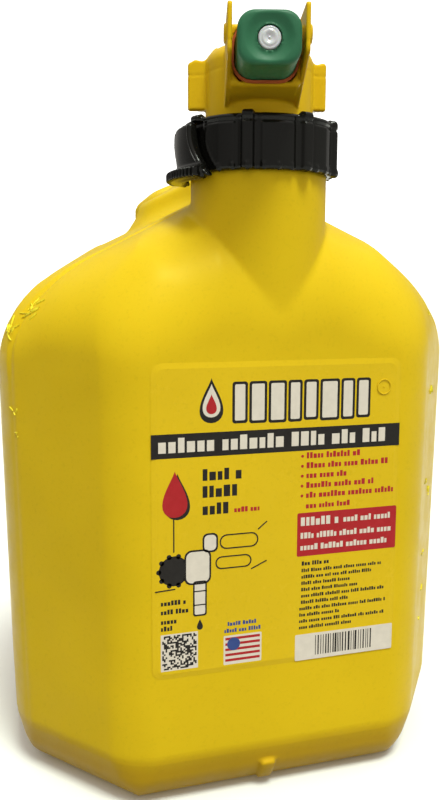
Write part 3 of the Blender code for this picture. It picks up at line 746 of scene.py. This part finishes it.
def drawing(rng):
    """A plain line drawing of a ribbed collar, a nozzle, two bars and a drop, with four short lines."""
    black = [(disc(-62.5, -77.0, 8.6, 32), 1)]
    for k in range(10):
        angle = math.tau * k / 10
        black.append((disc(-62.5 + 8.6 * math.cos(angle), -77.0 + 8.6 * math.sin(angle), 1.5, 8), 1))
    pale = [(box(-56.5, -86.0, -41.0, -66.0, 4.0), 2), (box(-51.5, -104.5, -43.5, -84.0, 1.5), 2)]
    pale += [(box(-46.0, -68.0, -37.0, -57.0, 3.0), 2)]
    lines = outlined(-56.5, -86.0, -41.0, -66.0, 4.0, 1.0) + outlined(-51.5, -104.5, -43.5, -84.0, 1.5, 0.9)
    lines += outlined(-46.0, -68.0, -37.0, -57.0, 3.0, 1.0)
    lines += stroke([(-51.0, -90.0), (-44.0, -90.0)], 0.7) + stroke([(-51.0, -98.0), (-44.0, -98.0)], 0.7)
    lines += outlined(-36.0, -67.0, -13.0, -58.5, 4.0, 0.7) + outlined(-38.5, -78.5, -17.0, -71.0, 3.6, 0.7)
    lines += stroke([(-13.0, -57.0), (-8.0, -53.0)], 0.7) + stroke([(-17.0, -80.0), (-8.0, -76.0)], 0.7)
    lines += stroke([(-62.5, -47.0), (-62.5, -66.0)], 0.7) + stroke([(-73.0, -88.0), (-62.0, -87.4)], 0.7)
    black += [(shape, 3) for shape in lines]
    black += [(drop(-47.5, -109.5, 2.2), 1)]
    for z, end in ((-96.5, -55.5), (-101.6, -54.0), (-107.2, -60.0), (-111.2, -62.0)):
        black += [(shape, 1) for shape in words(rng, -70.0, end, z, 2.8)]
    blue = [(shape, 1) for shape in words(rng, -31.0, -13.0, -112.6, 2.4)]
    blue += [(shape, 1) for shape in words(rng, -33.0, -11.0, -116.6, 2.4)]
    return black, pale, blue


def make_artwork():
    rng = np.random.default_rng(11)
    black, pale, red = heading(rng)
    blue = []
    band_black, band_pale = band(rng)
    text_black, text_red = contents(rng)
    notice_black, notice_red, notice_pale = notice(rng)
    bar_black, bar_pale = stripes(rng)
    square_black, square_pale = speckled(rng)
    panel_pale, panel_red, panel_blue = striped_panel()
    line_black, line_pale, line_blue = drawing(rng)
    black += band_black + text_black + notice_black + bar_black + square_black + line_black
    pale += band_pale + notice_pale + bar_pale + square_pale + panel_pale + line_pale
    red += text_red + notice_red + panel_red
    blue += panel_blue + line_blue
    printed("print_black", black, INK_BLACK)
    printed("print_pale", pale, INK_PALE)
    printed("print_red", red, INK_RED)
    printed("print_blue", blue, INK_BLUE)


# ---------------------------------------------------------------- head

def head_place():
    return Matrix.Translation((0.0, NECK_Y * MM, 0.0)) @ Matrix.Rotation(HEAD_TURN, 4, "Z")


def guard(w, reach, z, side):
    """The thin plate beside the button, with a stud on its outer face."""
    low = side_plane(reach, z, (28.0, AXIS_Z - 20.5), (76.0, AXIS_Z - 5.5))
    outline = [reach - 76.0, low, z - GUARD_TOP, 22.0 - reach]
    outline.append(side_plane(reach, z, (36.0, GUARD_TOP), (26.0, AXIS_Z + 11.0)))
    plate = both(all_of(outline, 2.0), np.abs(w - side * GUARD_OFFSET) - 1.2, 0.7)
    stud = np.sqrt((reach - 67.0) ** 2 + (z - AXIS_Z - 5.0) ** 2) - 5.0
    stud = both(stud, np.abs(w - side * (GUARD_OFFSET + 1.4)) - 1.4, 1.2)
    return either(plate, stud, 1.0)


def fin(w, l, z, side):
    """The finger grip beside the cap: a flat wedge, thicker where it leaves the cap."""
    out = side * w
    tip = 41.2 if side < 0.0 else 38.6
    thick = 2.2 + 0.16 * np.maximum(tip - out, 0.0)
    hollow = 3.2 * bump(out - 31.5, 6.0)
    upper = z - 425.6 - 0.5 * np.maximum(tip - out, 0.0) + hollow
    return all_of([out - tip, 24.0 - out, np.abs(l) - thick, FIN_LOW - z, upper], 1.1)


def head_shell(w, l, z):
    """The cap, the button's housing with its guards, the fins and the spout's socket."""
    reach = -l
    radius = np.sqrt(w * w + l * l)
    dome = z - HEAD_TOP + 0.0022 * radius * radius
    cap = all_of([radius - HEAD_RADIUS, dome, 390.0 - z], 8.0)
    cap = np.minimum(cap, all_of([radius - HEAD_RADIUS, np.abs(z - 398.0) - 9.5], 0.5))
    flange = all_of([radius - 36.2, np.abs(z - FLANGE_TOP + 1.5) - 1.5], 0.4)
    slope = AXIS_Z - 15.6 - 0.17 * np.maximum(50.0 - reach, 0.0) - z
    housing = all_of([np.abs(w) - 18.9, z - AXIS_Z - 15.2, slope, reach - 50.0, 12.0 - reach], 2.5)
    body = either(np.minimum(cap, flange), housing, 1.6)
    for side in (-1.0, 1.0):
        body = either(body, guard(w, reach, z, side), 0.8)
        body = either(body, fin(w, l, z, side), 1.2)
    height = np.sqrt(w * w + (z - AXIS_Z) ** 2)
    socket = all_of([height - 15.5, l - 46.0, 20.0 - l], 0.8)
    body = either(body, socket, 2.0)
    seam = 0.25 * bump(z - AXIS_Z, 0.9) * ramp(radius, 30.0, 31.0)
    return body + seam


def head_body(w, l, z):
    body = head_shell(w, l, z)
    radius = np.sqrt(w * w + l * l)
    hollow = all_of([radius - 28.0, z - 426.5, 370.0 - z], 3.0)
    wall = all_of([np.abs(w) - 18.9, -l - 50.0, 20.0 + l, AXIS_Z - 15.4 - z], 1.0)
    core = np.sqrt(w * w + (z - AXIS_Z) ** 2)
    body = np.maximum(body, -np.maximum(hollow, -wall))
    bore = all_of([np.abs(w) - 16.5, np.abs(z - AXIS_Z) - 13.7, 33.0 + l], 3.0)
    bore = np.maximum(bore, np.hypot(w, z - AXIS_Z) - 19.2)
    body = without(body, bore, 0.5)
    body = np.maximum(body, -(core - 3.0))
    return np.maximum(body, -np.maximum(core - 12.6, 24.0 - l))


def make_head():
    place = head_place()
    low = (-42.0, -77.0, 386.0)
    high = (40.0, 47.0, GUARD_TOP)
    piece = meshed("head_skin", head_body, low, high, 0.85, "nozzle", HEAD, place)
    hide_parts("nozzle_body")
    return piece


def button_body(w, l, z):
    """The button: a rounded bar with a dished face and a socket for its plug."""
    reach = -l
    h = z - AXIS_Z
    corner = all_of([np.abs(w) - 15.8, np.abs(h) - 13.0], 8.5)
    core = np.hypot(w, h)
    dish = 2.2 * bump(core - 7.0, 6.0) - 1.0 * ramp(-core, -7.0, -5.6)
    face = reach - 82.0 + dish + 0.0035 * (w * w + h * h) - 0.5
    body = np.maximum(all_of([corner, face], 2.4), 45.0 - reach)
    socket = np.maximum(core - 6.1, 73.0 - reach)
    pocket = np.maximum(core - 10.4, reach - 68.0)
    return without(without(np.maximum(body, -pocket), core - 2.85, 0.2), socket, 0.5)


def plug_body(w, l, z):
    """The plug: a shallow dome with a dimple and a small nib in it."""
    reach = -l
    core = np.hypot(w, z - AXIS_Z)
    dimple = 1.3 * bump(core, 3.4) - 0.9 * bump(core, 1.0)
    ring = 0.25 * bump(core - 4.2, 0.8)
    face = reach - 81.0 + 0.02 * core * core + dimple + ring
    return both(both(core - 5.7, face, 0.9), 76.4 - reach, 0.3)


def make_button():
    place = head_place()
    low = (-16.0, -82.5, 405.5)
    high = (16.0, -45.0, 432.5)
    button = meshed("button_skin", button_body, low, high, 0.7, "button", GREEN, place)
    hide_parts("push_button")
    low = (-6.0, -82.0, 413.0)
    high = (6.0, -76.0, 425.0)
    plug = meshed("plug_skin", plug_body, low, high, 0.3, "button", CLEAR, place)
    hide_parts("button_plug")


# ---------------------------------------------------------------- collar

def collar_angles(x, y):
    """Radius, azimuth in degrees from -Y towards -X, and distance along the rim to the nearest rib."""
    radius = np.sqrt(x * x + y * y)
    angle = np.arctan2(y, x)
    offset = (angle - RIB_START + RIB_PITCH / 2.0) % RIB_PITCH - RIB_PITCH / 2.0
    azimuth = np.degrees(np.arctan2(-x, -y))
    return radius, azimuth, offset * 44.0


def tab_side(azimuth, z):
    """How far outside the tab's edges a point is, in millimetres. The tab widens towards its foot."""
    fall = np.clip((387.0 - z) / 25.0, 0.0, 1.3)
    half = 16.5 + 11.5 * fall * fall
    return np.abs(azimuth - TAB_AZIMUTH) * 0.8 - half


def collar_body(x, y, z):
    """The ribbed ring: scalloped panels between ribs, a rounded rim, and the tab's recess."""
    radius, azimuth, along = collar_angles(x, y)
    near_rib = -np.abs(along)
    panel = 0.9 * np.minimum((along / 17.0) ** 2, 1.0)
    rib = 3.0 * ramp(near_rib, -4.1, -2.3)
    hollow = 0.9 * bump(np.abs(along) - 6.2, 2.4)
    outer = radius - COLLAR_RADIUS + 0.5 - np.maximum(panel, rib) + hollow
    lift = 1.9 * ramp(near_rib, -4.4, -2.2) * ramp(radius, 38.0, 41.5)
    top = z - COLLAR_HIGH + 0.7 - lift + 0.25 * np.maximum(radius - 41.0, 0.0)
    shell = all_of([outer, top, COLLAR_LOW - z], 1.5)
    lip = 0.9 * bump(z - COLLAR_HIGH + 4.6, 1.3) * ramp(radius, 41.5, 42.6)
    foot = bump((np.abs(along) + 4.4) % 8.8 - 4.4, 2.2) * ramp(-z, -COLLAR_LOW - 4.6, -COLLAR_LOW - 2.6)
    shell = shell + lip - 0.8 * foot * ramp(radius, 41.5, 42.6)
    mark = bump(np.hypot(along - 9.5, z - 381.0) - 3.2, 0.8) * ramp(-np.abs(azimuth + 8.0), -16.0, -15.0)
    shell = shell - 0.5 * mark * ramp(radius, 41.5, 42.0)
    pocket = all_of([tab_side(azimuth, z) - 4.0, z - 389.3, 41.1 - radius], 1.2)
    rim = bump(tab_side(azimuth, z) - 5.6, 1.5) * ramp(radius, 41.5, 42.6)
    shell = without(shell - 0.7 * rim, pocket, 1.0)
    inside = np.maximum(radius - 39.3, z - 389.5)
    return np.maximum(np.maximum(shell, -inside), 31.8 - radius)


def tab_body(x, y, z):
    """The release tab: a flared lever with a toothed thumb pad at its foot."""
    radius, azimuth, _ = collar_angles(x, y)
    edge = azimuth - TAB_AZIMUTH
    crown = 1.1 * bump(z - 380.0, 16.0)
    ridge = 0.8 * bump(tab_side(azimuth, z) + 1.8, 1.6)
    lever = all_of([radius - 47.6 - crown - ridge, 43.4 - radius, tab_side(azimuth, z)], 1.2)
    lever = all_of([lever, z - 388.0, 359.0 - z], 1.6)
    tooth = np.abs((edge / 3.4) % 1.0 - 0.5) * 2.0
    teeth = 2.4 * ramp(tooth, 0.25, 0.75)
    slope = 0.35 * (radius - 46.0)
    pad = [radius - 51.6 - teeth, 44.6 - radius, np.abs(edge) * 0.85 - 27.0]
    pad = all_of(pad + [z - 366.2 + slope, 358.0 - z + 0.12 * (radius - 46.0)], 0.8)
    return either(lever, pad, 2.0)


def make_collar():
    place = Matrix.Translation((0.0, NECK_Y * MM, 0.0))
    low = (-47.0, -47.0, COLLAR_LOW)
    high = (47.0, 47.0, COLLAR_HIGH + 2.5)
    collar = meshed("collar_skin", collar_body, low, high, 0.85, "collar_ring", BLACK, place)
    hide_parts("collar")
    low = (-55.0, -40.0, 357.0)
    high = (-24.0, 42.0, 389.0)
    tab = meshed("tab_skin", tab_body, low, high, 0.5, "tab", BLACK, place)
    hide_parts("collar_release_tab")


# ---------------------------------------------------------------- carried-over CAD nodes

def finish_nodes():
    finishes = {
        "flame_arrestor_ring": STEEL, "flame_arrestor_screen": STEEL, "neck_gasket": RUBBER,
        "valve_rod": STEEL, "rod_clip": STEEL, "return_spring": STEEL, "spring_seat": STEEL,
        "valve_seat": STEEL, "valve_disc": CLEAR, "valve_o_ring": RUBBER, "button_seal": ORANGE,
        "spout": HEAD, "spout_nut": HEAD, "spout_o_ring": RUBBER, "vent_tube": CLEAR,
    }
    for name, material in finishes.items():
        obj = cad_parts[name]
        obj.data.materials.clear()
        obj.data.materials.append(material)


# ---------------------------------------------------------------- stage

def sun_light(name, direction, strength, spread, colour):
    data = bpy.data.lights.new(name, "SUN")
    data.energy = strength
    data.angle = math.radians(spread)
    data.color = colour
    obj = bpy.data.objects.new(name, data)
    bpy.context.scene.collection.objects.link(obj)
    obj.rotation_euler = Vector(direction).to_track_quat("Z", "Y").to_euler()


def graded(tree, source, start, end, low, high):
    """A smooth rise from low to high as the source goes from start to end."""
    made = node(tree, "ShaderNodeMapRange", interpolation_type="SMOOTHSTEP", From_Min=start, From_Max=end)
    made.inputs["To Min"].default_value = low
    made.inputs["To Max"].default_value = high
    tree.links.new(source, made.inputs["Value"])
    return made.outputs["Result"]


def combined(tree, operation, a, b):
    made = node(tree, "ShaderNodeMath", operation=operation)
    tree.links.new(a, made.inputs[0])
    tree.links.new(b, made.inputs[1])
    return made.outputs["Value"]


def make_world():
    """A pale room: brightest overhead, dimmer beside the can, and dim below."""
    world = bpy.data.worlds.new("studio")
    bpy.context.scene.world = world
    world.use_nodes = True
    tree = world.node_tree
    background = tree.nodes["Background"]
    background.inputs["Color"].default_value = (1.0, 0.965, 0.90, 1.0)
    coords = node(tree, "ShaderNodeTexCoord")
    parts = node(tree, "ShaderNodeSeparateXYZ")
    tree.links.new(coords.outputs["Generated"], parts.inputs["Vector"])
    walls = graded(tree, parts.outputs["Y"], -0.8, 0.1, WORLD_FRONT, WORLD_SIDES)
    ceiling = graded(tree, parts.outputs["Z"], 0.35, 0.95, 0.0, WORLD_ABOVE)
    ground = graded(tree, parts.outputs["Z"], -0.5, 0.0, WORLD_BELOW, 1.0)
    light = combined(tree, "MULTIPLY", combined(tree, "ADD", walls, ceiling), ground)
    tree.links.new(light, background.inputs["Strength"])


def make_backdrop():
    """A white surround far from the can, which neither lights the can nor shows in its gloss."""
    bpy.ops.mesh.primitive_ico_sphere_add(subdivisions=4, radius=19.0)
    sheet = bpy.context.object
    sheet.name = "backdrop"
    sheet.visible_diffuse = False
    sheet.visible_glossy = False
    sheet.visible_transmission = False
    sheet.visible_shadow = False
    material, _, shader = shader_of("backdrop_paper", (0.9, 0.9, 0.9), 0.9, shine=0.0)
    shader.inputs["Emission Color"].default_value = (1.0, 1.0, 1.0, 1.0)
    shader.inputs["Emission Strength"].default_value = 1.0
    sheet.data.materials.append(material)


def make_stage():
    """The floor, the room and the key light. The floor casts no diffuse light back up at the can."""
    bpy.ops.mesh.primitive_plane_add(size=40.0, location=(0.0, 0.0, 0.0))
    floor = bpy.context.object
    floor.name = "floor"
    floor.visible_diffuse = False
    material, tree, shader = shader_of("floor_paper", (0.86, 0.86, 0.85), 0.9, shine=0.0)
    tone = ramped(tree, noise(tree, 2.0, 3.0), [(0.3, (0.85, 0.85, 0.84)), (0.7, (0.87, 0.87, 0.86))])
    tree.links.new(tone, shader.inputs["Base Color"])
    floor.data.materials.append(material)
    make_backdrop()
    make_world()
    sun_light("key_light", KEY_DIRECTION, KEY_STRENGTH, KEY_SPREAD, KEY_COLOUR)
    bpy.context.scene.view_settings.view_transform = "Standard"


def make_camera():
    data = bpy.data.cameras.new("camera")
    data.lens = CAMERA_LENS
    data.sensor_width = CAMERA_SENSOR
    obj = bpy.data.objects.new("camera", data)
    bpy.context.scene.collection.objects.link(obj)
    obj.location = CAMERA_PLACE
    turn = Matrix.Rotation(math.radians(CAMERA_TURN), 4, "Z")
    tilt = Matrix.Rotation(math.radians(90.0 - CAMERA_DOWN), 4, "X")
    roll = Matrix.Rotation(math.radians(CAMERA_ROLL), 4, "Z")
    obj.rotation_euler = (turn @ tilt @ roll).to_euler()
    bpy.context.scene.camera = obj


make_camera()
make_stage()
SKIN = make_can()
make_flecks(SKIN)
make_label()
make_dial()
make_artwork()
make_head()
make_button()
make_collar()
finish_nodes()
